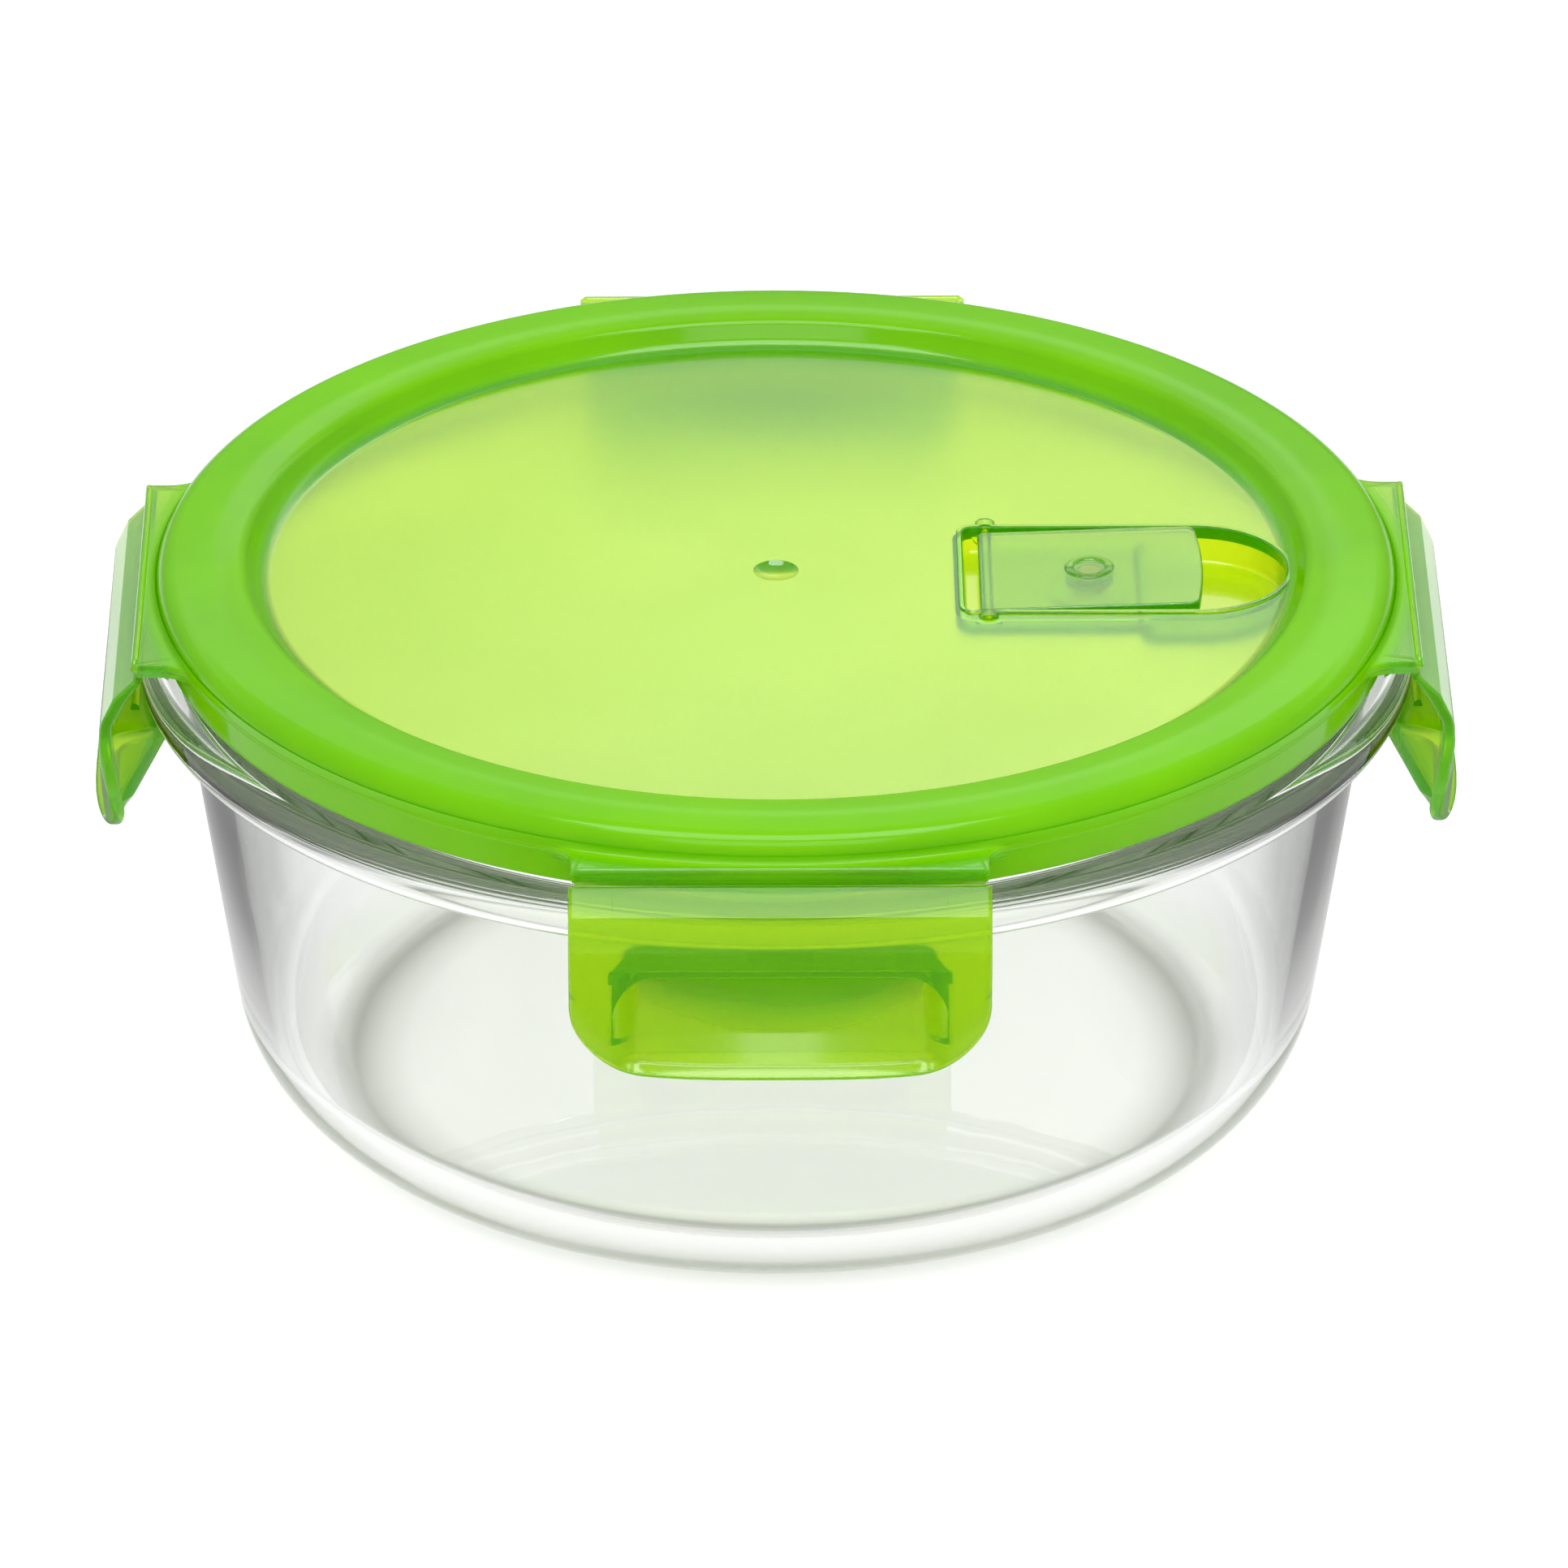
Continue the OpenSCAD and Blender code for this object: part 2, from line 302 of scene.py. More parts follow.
def absorber(new, link, output, colour, density):
    """Tints the light on its way through the solid."""
    inside = new("ShaderNodeVolumeAbsorption")
    inside.inputs["Color"].default_value = (*colour, 1)
    inside.inputs["Density"].default_value = density
    link(inside.outputs["Volume"], output.inputs["Volume"])


def pressed_glass():
    """Clear pressed glass: faint waves from the mould, a trace of green in its depth and a stippled foot."""
    made, new, link, output = material("pressed_glass")
    shader = new("ShaderNodeBsdfPrincipled")
    shader.inputs["Transmission Weight"].default_value = 1
    shader.inputs["IOR"].default_value = 1.5
    waves = noise(new, link, 55, 2, (1, 1, 0.5))
    grain = noise(new, link, 140, 4)
    link(tint(new, link, grain, (0.985, 0.992, 0.988), (1, 1, 1)), shader.inputs["Base Color"])
    coords = new("ShaderNodeTexCoord")
    axes = new("ShaderNodeSeparateXYZ")
    link(coords.outputs["Object"], axes.inputs["Vector"])
    foot = between(new, link, axes.outputs["Z"], 0.35, 0, 0.0004, 0.0012)
    link(combined(new, link, "ADD", between(new, link, grain, 0, 0.02), foot), shader.inputs["Roughness"])
    link(bumps(new, link, waves, 0.00003), shader.inputs["Normal"])
    absorber(new, link, output, (0.5, 0.58, 0.46), 9)
    link(shader.outputs["BSDF"], output.inputs["Surface"])
    return made


def milky_share(new, link, flow):
    """Share of milky plastic by distance from the lid's middle: low in the panel, high in the ring."""
    coords = new("ShaderNodeTexCoord")
    radius = distance(new, link, coords.outputs["Object"], (0, 0, 0), (0.1, 0.1, 0))
    share = grey_ramp(new, link, radius, [(0.695, 0.12), (0.71, 0.82), (0.855, 0.82), (0.875, 0.36)])
    return combined(new, link, "MULTIPLY", share, between(new, link, flow, 0.92, 1.08))


def green_plastic():
    """Translucent polypropylene: a see-through share, and a milky share that is larger in the folded ring."""
    made, new, link, output = material("green_plastic")
    flow = noise(new, link, 28, 3, (1, 1, 2))
    grain = noise(new, link, 420, 3)
    haze = between(new, link, flow, 0.18, 0.25)
    gloss = between(new, link, flow, 0.08, 0.13)
    skin = bumps(new, link, grain, 0.000002)
    clear = new("ShaderNodeBsdfPrincipled")
    clear.inputs["Transmission Weight"].default_value = 1
    clear.inputs["IOR"].default_value = 1.4
    clear.inputs["Coat Weight"].default_value = 1
    clear.inputs["Coat Roughness"].default_value = 0.07
    link(haze, clear.inputs["Roughness"])
    link(tint(new, link, flow, (0.95, 0.98, 0.85), (1, 1, 0.9)), clear.inputs["Base Color"])
    milky = new("ShaderNodeBsdfPrincipled")
    milky.inputs["IOR"].default_value = 1.49
    milky.inputs["Specular IOR Level"].default_value = 0.15
    link(gloss, milky.inputs["Roughness"])
    through = new("ShaderNodeBsdfTranslucent")
    green = tint(new, link, flow, (0.31, 0.84, 0.001), (0.35, 0.9, 0.002))
    link(green, milky.inputs["Base Color"])
    link(green, through.inputs["Color"])
    for shader in (clear, milky):
        link(skin, shader.inputs["Normal"])
    cloud = new("ShaderNodeMixShader")
    cloud.inputs["Fac"].default_value = 0.4
    link(milky.outputs["BSDF"], cloud.inputs[1])
    link(through.outputs["BSDF"], cloud.inputs[2])
    both = new("ShaderNodeMixShader")
    link(milky_share(new, link, flow), both.inputs["Fac"])
    link(clear.outputs["BSDF"], both.inputs[1])
    link(cloud.outputs["Shader"], both.inputs[2])
    absorber(new, link, output, (0.95, 0.994, 0.002), 3000)
    link(both.outputs["Shader"], output.inputs["Surface"])
    return made


def clear_silicone():
    """Soft milky silicone with a satin skin."""
    made, new, link, output = material("clear_silicone")
    shader = new("ShaderNodeBsdfPrincipled")
    shader.inputs["Transmission Weight"].default_value = 0.35
    shader.inputs["IOR"].default_value = 1.41
    cloud = noise(new, link, 90, 4)
    grain = noise(new, link, 900, 2)
    link(tint(new, link, cloud, (0.86, 0.88, 0.87), (0.95, 0.96, 0.95)), shader.inputs["Base Color"])
    link(between(new, link, grain, 0.28, 0.4), shader.inputs["Roughness"])
    link(bumps(new, link, grain, 0.00001), shader.inputs["Normal"])
    link(shader.outputs["BSDF"], output.inputs["Surface"])
    return made


def pale_floor():
    """Matt floor that glows, with a painted contact shadow, a darker ring under the edge of the dish's foot,
    and dimmer far away.
    """
    made, new, link, output = material("pale_floor")
    shader = new("ShaderNodeBsdfPrincipled")
    cloud = noise(new, link, 3, 2)
    link(tint(new, link, cloud, (0.24, 0.24, 0.24), (0.26, 0.26, 0.26)), shader.inputs["Base Color"])
    link(between(new, link, cloud, 0.6, 0.7), shader.inputs["Roughness"])
    shader.inputs["Specular IOR Level"].default_value = 0.2
    shader.inputs["Emission Color"].default_value = (1, 1, 1, 1)
    place = new("ShaderNodeNewGeometry")
    radius = distance(new, link, place.outputs["Position"], (0, 0, 0), (1, 1, 0))
    # Glow by radius: the dip between 0.053 and 0.063 m is a painted contact shadow under the edge of the
    # dish's foot
    stops = [(0.053, 1), (0.058, 0.35), (0.0615, 0.35), (0.063, 0.93), (0.5, 0.93), (1, 0.5)]
    link(grey_ramp(new, link, radius, stops), shader.inputs["Emission Strength"])
    link(shader.outputs["BSDF"], output.inputs["Surface"])
    return made


GLASS = pressed_glass()
GREEN = green_plastic()
SILICONE = clear_silicone()

# ---------------------------------------------------------------- camera

CAMERA_LENS = 287.3
CAMERA_DISTANCE = 1708.6
CAMERA_ELEVATION = math.radians(26.74)
CAMERA_AZIMUTH = math.radians(-0.35)
CAMERA_AIM = Vector((1.1, 0, TOP_Z - 32.7))


def make_camera():
    """Stands off from the middle of the tabs' top and aims a little below it."""
    flat = CAMERA_DISTANCE * math.cos(CAMERA_ELEVATION)
    place = Vector((flat * math.sin(CAMERA_AZIMUTH), -flat * math.cos(CAMERA_AZIMUTH),
                    TOP_Z + CAMERA_DISTANCE * math.sin(CAMERA_ELEVATION)))
    lens = bpy.data.cameras.new("camera")
    lens.lens = CAMERA_LENS
    lens.sensor_width = 36
    lens.clip_start = 0.05
    camera = bpy.data.objects.new("camera", lens)
    camera.location = place * MM
    camera.rotation_euler = (CAMERA_AIM - place).to_track_quat("-Z", "Y").to_euler()
    scene.collection.objects.link(camera)
    scene.camera = camera


make_camera()

# ---------------------------------------------------------------- floor, sky and lamps


def make_floor():
    """Large round floor, a hair below the foot."""
    bpy.ops.mesh.primitive_circle_add(vertices=96, radius=12, fill_type="NGON", location=(0, 0, -0.0002))
    floor = bpy.context.object
    floor.name = "floor"
    floor.data.materials.append(pale_floor())


def card(name, centre, reach, stops, transmission):
    """Soft oval of shade flat on the floor that only bent or mirrored rays meet.

    reach is half its size; stops are (share of the reach, brightness).
    """
    made, new, link, output = material(name)
    place = new("ShaderNodeNewGeometry")
    out = distance(new, link, place.outputs["Position"], (*centre, 0), (*reach, 0))
    glow = new("ShaderNodeEmission")
    link(grey_ramp(new, link, out, stops), glow.inputs["Color"])
    glow.inputs["Strength"].default_value = 1.1
    link(glow.outputs["Emission"], output.inputs["Surface"])
    bpy.ops.mesh.primitive_circle_add(vertices=96, radius=1, fill_type="NGON", location=(*centre, 0.0001))
    piece = bpy.context.object
    piece.name = name
    piece.scale = (*reach, 1)
    piece.data.materials.append(made)
    # Hidden from the camera, shadows and diffuse light: a painted shade that only bent and mirrored rays meet
    piece.visible_camera = False
    piece.visible_diffuse = False
    piece.visible_shadow = False
    piece.visible_transmission = transmission


def make_cards():
    """Painted shade seen only in bent and mirrored rays: the side cards darken the edges of the dish's sides,
    and the front card keeps the front of the lid and latches free of mirrored floor.
    """
    side_shade = [(0, 0.2), (0.33, 0.27), (0.69, 0.55), (0.87, 0.9), (1, 1)]
    for side, name in ((-1, "shade_card_left"), (1, "shade_card_right")):
        card(name, (side * 0.115, 0.04), (0.045, 0.17), side_shade, True)
    card("shade_card_front", (0, -0.5), (0.9, 0.42), [(0, 0.12), (0.85, 0.12), (1, 1)], False)


AMBIENT = 0.22


def make_sky():
    """Dim studio with a pale wall behind the object, brightest some 30 degrees up and dimmer on the left."""
    world = bpy.data.worlds.new("studio")
    scene.world = world
    world.use_nodes = True
    tree = world.node_tree
    tree.nodes.clear()
    new, link = tree.nodes.new, tree.links.new
    coords = new("ShaderNodeTexCoord")
    axes = new("ShaderNodeSeparateXYZ")
    link(coords.outputs["Generated"], axes.inputs["Vector"])
    across = combined(new, link, "ADD", axes.outputs["X"], 0.5)
    behind = grey_ramp(new, link, axes.outputs["Y"], [(0.3, 0), (0.7, 1)])
    back = combined(new, link, "MULTIPLY", behind, grey_ramp(new, link, across, [(0.465, 0.5), (0.5, 1)]))
    heights = [(0, 0.1), (0.25, 0.2), (0.433, 0.35), (0.455, 0.75), (0.53, 0.9), (0.6, 0.3)]
    level = grey_ramp(new, link, axes.outputs["Z"], heights)
    lift = combined(new, link, "SUBTRACT", level, AMBIENT)
    light = combined(new, link, "MULTIPLY_ADD", back, lift, AMBIENT)
    background = new("ShaderNodeBackground")
    link(light, background.inputs["Color"])
    background.inputs["Strength"].default_value = 2
    output = new("ShaderNodeOutputWorld")
    link(background.outputs["Background"], output.inputs["Surface"])


def make_lamp(name, place, aim, size, power):
    """Rectangular softbox."""
    lamp = bpy.data.lights.new(name, "AREA")
    lamp.shape = "RECTANGLE"
    lamp.size, lamp.size_y = size
    lamp.energy = power
    piece = bpy.data.objects.new(name, lamp)
    piece.location = place
    piece.rotation_euler = (Vector(aim) - Vector(place)).to_track_quat("-Z", "Y").to_euler()
    scene.collection.objects.link(piece)


make_floor()
make_cards()
make_sky()
make_lamp("top_softbox", (0, -0.1, 1.3), (0, -0.1, 0), (0.8, 0.6), 9)
make_lamp("front_softbox", (0, -0.81, 1.08), (0, -0.09, 0.05), (0.7, 0.44), 3)

# ---------------------------------------------------------------- glass dish


RIM_LOW = TOP_Z - 12.9
RIM_TALL = 5.8
RIM_OUT = 5.8
FLARE = math.tan(math.radians(8.2))
WALL_T = 4
BASE_T = 4.5
FOOT_ROUND = 17
LIP_T = 3.4


def make_dish():
    """Section from the middle of the foot, out round the flange and the lip, and back along the inside."""
    rim_high = RIM_LOW + RIM_TALL
    rim_round = RIM_TALL / 2 - 0.01
    lip_round = LIP_T / 2 - 0.01
    wall_r = RIM_R - RIM_OUT
    foot_x = wall_r - RIM_LOW * FLARE
    inner_r = wall_r - WALL_T
    lip = wall_r + 0.2
    foot = rounded([(0, 0), (foot_x, 0, FOOT_ROUND), (wall_r, RIM_LOW)], 24)
    brim = rounded([(foot_x, 0), (wall_r, RIM_LOW, 1.2), (RIM_R, RIM_LOW, rim_round),
                    (RIM_R, rim_high, rim_round), (lip, rim_high, 1.5), (lip, BOWL_H, lip_round),
                    (lip - LIP_T, BOWL_H, lip_round), (lip - LIP_T, rim_high, 3), (inner_r, RIM_LOW - 2)], 12)
    floor_x = foot_x - WALL_T + BASE_T * FLARE
    inside = rounded([(inner_r, RIM_LOW - 2), (floor_x, BASE_T, 13), (0, BASE_T)], 20)
    outline = [Vector((0, 0))] + foot[1:-1] + brim[1:-1] + inside[1:-1] + [Vector((0, BASE_T))]
    dish = revolve("dish", outline, 288)
    finish_mesh(dish, GLASS, 60)
    hand_over(dish, "bowl", "clear_glass", "glass_bowl")


make_dish()

# ---------------------------------------------------------------- lid

TAB_CORNER = math.atan2(TAB_HALF, TAB_REACH)
TAB_FILLET = 6
FILLET_Y = TAB_HALF + TAB_FILLET
FILLET_X = math.sqrt((RING_R + TAB_FILLET) ** 2 - FILLET_Y ** 2)
TAB_SIDE = math.atan2(TAB_HALF, FILLET_X)
TAB_END = math.atan2(FILLET_Y, FILLET_X)
BEAD_END = math.radians(17)
PANEL_R = 70.36
CREST_R = 76.5
CHANNEL_IN = 76.6
CHANNEL_OUT = RING_R - 2.1
CHANNEL_Z = CREST_Z - 1.9
INNER_WALL = 75


def tab_radius(angle):
    """Radius of the lid's plan at an angle from the middle of a tab."""
    a = abs(angle)
    if a <= TAB_CORNER:
        return TAB_REACH / math.cos(a)
    if a <= TAB_SIDE:
        return TAB_HALF / math.sin(a)
    if a >= TAB_END:
        return RING_R
    along = FILLET_X * math.cos(a) + FILLET_Y * math.sin(a)
    return along - math.sqrt(max(along ** 2 - FILLET_X ** 2 - FILLET_Y ** 2 + TAB_FILLET ** 2, 0))


def lid_angles():
    """Angles of the lid's sections, counted from a tab's middle, closer together where the tab ends."""
    half = [math.radians(v) for v in (0, 2.5, 5, 7.5, 10, 12, 14, 15.5, 16.5)]
    half += [mix(math.radians(16.9), TAB_CORNER, k / 8) for k in range(9)]
    half += [mix(TAB_CORNER, TAB_SIDE, k / 6) for k in range(1, 7)]
    half += [mix(TAB_SIDE, TAB_END, k / 14) for k in range(1, 15)]
    half += [mix(TAB_END, math.pi / 4, k / 18) for k in range(1, 18)]
    return [-a for a in reversed(half[1:])] + half + [math.pi / 4]


def wall_x(z):
    """The ring's outer wall leans in a little towards the skirt."""
    return RING_R - (CREST_Z - 3 - z) * 0.5 / 5.6


def lid_section(angle):
    """Section of the lid, from the middle of the panel's top round to the middle of its underside."""
    edge = tab_radius(angle)
    reach = edge - RING_R
    bead = 1 - smooth((abs(angle) - BEAD_END) / (TAB_CORNER - BEAD_END))
    grow = min(reach / 2, 1)
    gate = [Vector((0, PANEL_Z - 0.9)), Vector((1.3, PANEL_Z - 0.85)), Vector((2.5, PANEL_Z - 0.45))]
    top = rounded([(3.1, PANEL_Z), (PANEL_R, PANEL_Z, 3), (72.62, CREST_Z - 0.45, 2), (CREST_R, CREST_Z, 25),
                   (RING_R, CREST_Z - 0.55, 3), (wall_x(SKIRT_Z), SKIRT_Z)], 9)[:-1]
    fillet = [Vector((wall_x(p.y) + (p.x - RING_R) * grow, p.y))
              for p in arc(RING_R + 1, TOP_Z + 1, 1, 180, 270, 6)]
    round_r = mix(0.6, 0.55, bead)
    round_z = TOP_Z + mix(-0.6, -0.1, bead)
    rim = arc(edge - round_r, round_z, round_r, mix(92, 165, bead), -60, 12)
    groove = [Vector((edge - mix(0.55, 1.1, bead), TOP_Z - mix(1.3, 0.65, bead))),
              Vector((edge - mix(0.6, 1.2, bead), TOP_Z - mix(1.5, 0.8, bead))),
              Vector((edge - mix(0.8, 1.3, bead), TOP_Z - LID_T + 0.1)),
              Vector((edge - mix(0.9, 1.4, bead), TOP_Z - LID_T))]
    shelf = [Vector((max(p.x, wall_x(p.y)), p.y)) for p in rim + groove]
    under = [Vector((wall_x(p.y) + (p.x - RING_R) * grow * 0.6, p.y))
             for p in arc(RING_R + 0.6, TOP_Z - LID_T - 0.6, 0.6, 90, 180, 4)]
    below = rounded([(wall_x(TOP_Z - 3), TOP_Z - 3), (wall_x(SKIRT_Z), SKIRT_Z, 0.55),
                     (CHANNEL_OUT, SKIRT_Z, 0.55), (CHANNEL_OUT, CHANNEL_Z, 1.2),
                     (CHANNEL_IN, CHANNEL_Z, 0.3), (CHANNEL_IN, SKIRT_Z + 0.2, 0.5),
                     (INNER_WALL, SKIRT_Z + 0.2, 0.5), (INNER_WALL, PANEL_Z - 1.1, 0.8),
                     (72, PANEL_Z - LID_T, 2), (0, PANEL_Z - LID_T)], 5)
    return gate + top + fillet + shelf + under + below


def lid_body():
    """The revolved panel and ring with its four tabs."""
    loops = []
    for turn in (-90, 0, 90, 180):
        for angle in lid_angles()[:-1]:
            a = math.radians(turn) + angle
            loops.append([(p.x * math.cos(a), p.x * math.sin(a), p.y) for p in lid_section(angle)])
    return loft("lid", loops)


# The vent's tray, drawn as loops round its plan: a shallow shelf under the flap and a deeper finger well
POCKET_X = PIVOT.x - 3.2
POCKET_L = 44.2
POCKET_W = 25
POCKET_CORNER = 1.4
TRAY_END_X = POCKET_X + POCKET_L - POCKET_W / 2
TRAY_WALL = 1.3
SHELF_Z = PANEL_Z - 3.5
WELL_Z = PANEL_Z - 5
WELL_X = 50.5
STEAM_X = PIVOT.x + 14
PIN_R = 0.9


def tray_loop(grow, z, start):
    """Loop round the tray, square at its near end and round at its far end."""
    half = POCKET_W / 2 + grow
    corner = POCKET_CORNER + grow
    near = rounded([(TRAY_END_X, half), (start - grow, half, corner), (start - grow, -half, corner),
                    (TRAY_END_X, -half)], 5)
    far = arc(TRAY_END_X, 0, half, -90, 90, 32)
    return [(p.x, p.y, z) for p in near[:-1] + far[:-1]]


def tray_solid(levels, start=POCKET_X):
    """Helper solid through levels of the tray; levels are (grow, z)."""
    return loft("tray_part", [tray_loop(grow, z, start) for grow, z in levels], closed=False, caps=True)


def rounded_levels(low, top, grow, radius):
    """Levels of a tray solid whose bottom edge is round and whose sides are upright."""
    bottom = [(p.x, p.y) for p in arc(grow - radius, low + radius, radius, -90, 0, 5)]
    return bottom + [(grow, top)]


def cylinder_between(a, b, radius):
    """Plain helper cylinder for a boolean."""
    a, b = Vector(a), Vector(b)
    turn = (b - a).to_track_quat("Z", "Y").to_matrix()
    turns = [2 * math.pi * k / 48 for k in range(48)]
    circle = [turn @ Vector((radius * math.cos(v), radius * math.sin(v), 0)) for v in turns]
    loops = [[end + p for p in circle] for end in (a, b)]
    return loft("helper", loops, closed=False, caps=True)


def hinge_line(place, half, radius):
    """Helper cylinder along the vent's hinge line."""
    return cylinder_between((place.x, -half, place.z), (place.x, half, place.z), radius)


def make_lid():
    """The moulding with its vent tray, the boss under the steam hole and the sockets of the flap's pins."""
    lid = lid_body()
    rim = [(TRAY_WALL, PANEL_Z - 1), (0.85, PANEL_Z - 0.6), (0.85, PANEL_Z + 0.15), (0.7, PANEL_Z + 0.28),
           (0.45, PANEL_Z + 0.3)]
    half = POCKET_W / 2
    combine(lid, [
        tray_solid(rounded_levels(SHELF_Z - TRAY_WALL, PANEL_Z - 1.3, TRAY_WALL, 1.2) + rim),
        tray_solid(rounded_levels(WELL_Z - TRAY_WALL, SHELF_Z, TRAY_WALL, 1), WELL_X),
        cylinder_between((STEAM_X, 0, SHELF_Z - TRAY_WALL - 0.6), (STEAM_X, 0, SHELF_Z - 0.5), 5.5),
        hinge_line(PIVOT, half + 2.2, 1.9)], "UNION")
    mouth = [(0.25, PANEL_Z + 0.35), (0.25, PANEL_Z + 4)]
    combine(lid, [
        tray_solid(rounded_levels(SHELF_Z, PANEL_Z + 0.1, 0, 0.5) + mouth),
        tray_solid(rounded_levels(WELL_Z, SHELF_Z + 0.6, -0.02, 0.5), WELL_X),
        cylinder_between((STEAM_X, 0, SHELF_Z - 5), (STEAM_X, 0, SHELF_Z + 1), 2.4),
        hinge_line(PIVOT, half + 1.1, PIN_R + 0.05)], "DIFFERENCE")
    finish_mesh(lid, GREEN, 30)
    hand_over(lid, "lid", "green_plastic", "lid_shell")


def make_gasket():
    """Soft ring in the lid's channel, with two fine ridges over the glass lip."""
    low, seat = BOWL_H + 0.3, CREST_Z - 1.95
    ridges = []
    for middle in (78.6, 80.9):
        ridges += [Vector((middle - 0.45, low)), Vector((middle, low - 0.25)), Vector((middle + 0.45, low))]
    inner = rounded([(80, seat), (76.7, seat, 0.3), (76.7, low, 0.8), (79, low)], 5)
    outer = rounded([(80, low), (82.5, low, 0.8), (82.5, seat - 1.2, 0.6), (81.3, seat, 0.3), (80, seat)], 5)
    gasket = revolve("gasket", inner[:-1] + ridges + outer[1:-1], 192)
    finish_mesh(gasket, SILICONE, 50)
    hand_over(gasket, "lid", "silicone", "lid_gasket")


make_lid()
make_gasket()

# ---------------------------------------------------------------- latches
# A latch is drawn in u, out from the tab's edge, v, down from the tabs' top, and t, along the tab's edge.
# Names that end in U or V are places, FLOOR_LEAN is a slope, and the rest are lengths and radii

LATCH_HALF = 27.7
LATCH_DROP = 27.8
LATCH_CORNER = 9.5
LATCH_T = 1.8
END_ROUND = 0.6
EDGE_RISE = 0.7
SHOULDER_U = 4.65
SHOULDER_V = 12.3
SCOOP_HALF = 22
SCOOP_SLOPE = 4
MOUTH_V = 13.3
MOUTH_ROUND = 6
FLOOR_V = 14.28
FLOOR_LEAN = 0.553
CATCH_V = 13.1
KNUCKLE_U = -0.5
KNUCKLE_R = 0.5


def latch_low(t):
    """v of the latch's lower edge, which has round corners."""
    over = max(abs(t) - LATCH_HALF + LATCH_CORNER, 0)
    return LATCH_DROP - LATCH_CORNER + math.sqrt(max(LATCH_CORNER ** 2 - over ** 2, 0))


def plate(t, v):
    """How far the latch's outer face stands out below the shoulder: it leans in, and bulges in the middle."""
    drop = max(v - SHOULDER_V, 0)
    rise = drop ** 2 / 6 if drop < 3 else drop - 1.5
    return SHOULDER_U - 0.048 * drop ** 1.6 + 0.39 * rise * (1 - abs(t / LATCH_HALF) ** 3.5)


def scoop_line(t):
    """Face of the finger scoop: in under its roof, down its floor and out to the pull lip."""
    turn = max(abs(t) - SCOOP_HALF + MOUTH_ROUND, 0)
    mouth = MOUTH_V + MOUTH_ROUND - math.sqrt(MOUTH_ROUND ** 2 - turn ** 2)
    floor = max(FLOOR_V, mouth + 0.5)
    lip_v = latch_low(t) - EDGE_RISE
    lip_u = plate(t, lip_v)
    return rounded([(plate(t, mouth - 0.6), mouth - 0.6), (plate(t, mouth), mouth, 0.35),
                    (-2.75 + (floor - FLOOR_V) * FLOOR_LEAN, floor + 0.02, 0.6), (1.9, 22.6, 4),
                    (lip_u - 1.6, lip_v - 0.9, 1.2), (lip_u, lip_v)], 6)


def back_line(t):
    """Back of the latch, from the lower edge up over the catch and behind the shoulder to the knuckle."""
    low = latch_low(t)
    wall_u = SHOULDER_U - LATCH_T
    return rounded([(plate(t, low) - 1.6, low - EDGE_RISE), (1.7, 25.8, 1), (0.4, 24, 1), (-4.35, 14.9, 0.5),
                    (-4.35, CATCH_V, 0.5), (wall_u, CATCH_V - 0.02, 0.4), (wall_u, 9.6, 2),
                    (1, 5.9, 1), (-0.85, 3.25)], 6)


def latch_section(t):
    """Closed section of a latch at t."""
    inside = min(max(t, -SCOOP_HALF), SCOOP_HALF)
    low = latch_low(t)
    squeeze = (low - EDGE_RISE - SHOULDER_V) / (latch_low(inside) - EDGE_RISE - SHOULDER_V)
    depth = smooth((SCOOP_HALF - abs(t)) / SCOOP_SLOPE)
    behind = smooth((SCOOP_HALF + 0.8 - abs(t)) / SCOOP_SLOPE)
    edge = max(abs(t) - LATCH_HALF + END_ROUND, 0)
    inset = END_ROUND - math.sqrt(max(END_ROUND ** 2 - edge ** 2, 0))
    shoulder = rounded([(-0.25, 2.47), (2.6, 5.35, 0.8), (4.5, 9.3, 5), (SHOULDER_U, SHOULDER_V)], 6)
    face = scoop_line(inside)
    start = face[0].y
    front = [Vector((0, mix(SHOULDER_V, start, k / 3))) for k in (1, 2)]
    front = [Vector((plate(t, p.y), p.y)) for p in front]
    for p in face:
        v = SHOULDER_V + (p.y - SHOULDER_V) * squeeze
        front.append(Vector((mix(plate(t, v), p.x, depth), v)))
    lip = front[-1]
    bottom = rounded([lip, (plate(t, low) - 0.05, low, 0.55), (plate(t, low) - 1.5, low, 0.5),
                      (plate(t, low) - 1.6, low - EDGE_RISE)], 5)[1:-1]
    back = []
    scale = (low - EDGE_RISE - CATCH_V) / (latch_low(inside) - EDGE_RISE - CATCH_V)
    for p in back_line(inside):
        v = CATCH_V + (p.y - CATCH_V) * scale if p.y > CATCH_V else p.y
        if p.y < CATCH_V - 0.3:
            back.append(Vector((p.x, v)))
            continue
        flat = plate(t, v) - LATCH_T
        back.append(Vector((min(mix(flat, p.x, behind), flat + 0.3), v)))
    knuckle = arc(KNUCKLE_U, HINGE_DROP, KNUCKLE_R, 135, 300, 8)[1:-1]
    section = [Vector((p.x - inset, p.y)) for p in shoulder + front]
    section += [Vector((p.x, p.y - inset)) for p in bottom]
    section += [Vector((p.x + inset, p.y)) for p in back]
    return section + knuckle


def latch_columns():
    """Places along the latch where its section is drawn, closer together at the scoop's sides and corners."""
    start = SCOOP_HALF - MOUTH_ROUND
    half = [0, 4, 8, 12, 15]
    half += [start + MOUTH_ROUND * math.sin(math.radians(7.5 * k)) for k in range(13)]
    half += [mix(SCOOP_HALF + 0.5, SCOOP_HALF + LATCH_T, k / 6) for k in range(7)]
    flat = LATCH_HALF - LATCH_CORNER
    first = math.asin((SCOOP_HALF + LATCH_T - flat) / LATCH_CORNER)
    half += [flat + LATCH_CORNER * math.sin(mix(first, math.pi / 2, k / 16)) for k in range(1, 17)]
    return [-t for t in reversed(half[1:])] + half


def on_side(side):
    """Turns the +X side onto one of the four sides."""
    return Matrix.Rotation(math.radians(SIDES[side]), 4, "Z")


